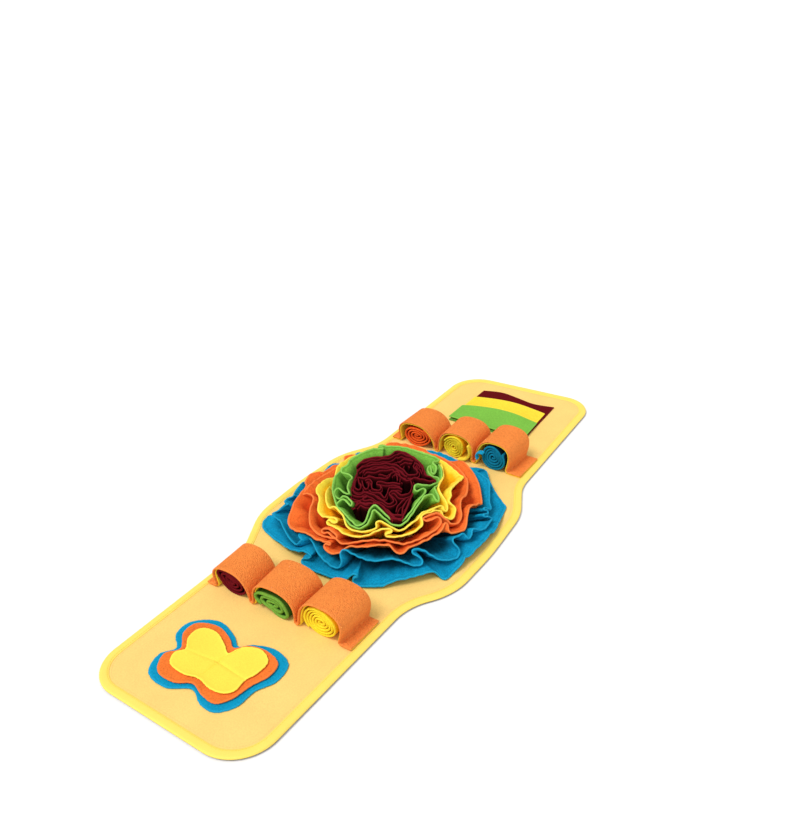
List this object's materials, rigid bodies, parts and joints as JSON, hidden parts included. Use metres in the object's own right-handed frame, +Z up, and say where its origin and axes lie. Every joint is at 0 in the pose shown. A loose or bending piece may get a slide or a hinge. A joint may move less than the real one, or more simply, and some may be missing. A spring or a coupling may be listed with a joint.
{
  "type": "snuffle mat",
  "caption": "Long fleece foraging mat for pets, with a bulged middle under a ruffled rosette, loop strips round rolled fleece, a layered butterfly and stacked pockets",
  "frame": {"origin": "middle of the mat's bounding box, on the floor under it", "axes": "+X along the mat from the butterfly to the pockets, +Y across it, +Z up"},
  "size_m": [0.8064, 0.3042, 0.0632],
  "materials": {
    "cream_fleece": "smooth matt fleece",
    "lemon_tape": "matt folded fleece tape",
    "yellow_fleece": "matt brushed fleece",
    "orange_fleece": "matt brushed fleece",
    "green_fleece": "matt brushed fleece",
    "blue_fleece": "matt brushed fleece",
    "burgundy_fleece": "matt brushed fleece"
  },
  "bodies": {
    "root": {"base_panel": "cream_fleece", "edge_binding": "lemon_tape", "butterfly_blue": "blue_fleece", "butterfly_orange": "orange_fleece", "butterfly_yellow": "yellow_fleece", "pocket_burgundy": "burgundy_fleece", "pocket_yellow": "yellow_fleece", "pocket_green": "green_fleece", "strip_near_outer": "orange_fleece", "strip_near_inner": "yellow_fleece", "strip_far_outer": "orange_fleece", "strip_far_inner": "yellow_fleece", "roll_near_burgundy": "burgundy_fleece", "roll_near_green": "green_fleece", "roll_near_yellow": "yellow_fleece", "roll_far_orange": "orange_fleece", "roll_far_yellow": "yellow_fleece", "roll_far_blue": "blue_fleece", "loose_end_far_blue": "blue_fleece", "loose_end_far_yellow": "yellow_fleece", "ruffle_blue_lower": "blue_fleece", "ruffle_blue_upper": "blue_fleece", "ruffle_orange_outer": "orange_fleece", "ruffle_orange_inner": "orange_fleece", "ruffle_yellow_outer": "yellow_fleece", "ruffle_yellow_inner": "yellow_fleece", "ruffle_green_outer": "green_fleece", "ruffle_green_inner": "green_fleece", "ruffle_burgundy_outer": "burgundy_fleece", "ruffle_burgundy_second": "burgundy_fleece", "ruffle_burgundy_third": "burgundy_fleece", "ruffle_burgundy_centre": "burgundy_fleece"}
  },
  "joints": []
}
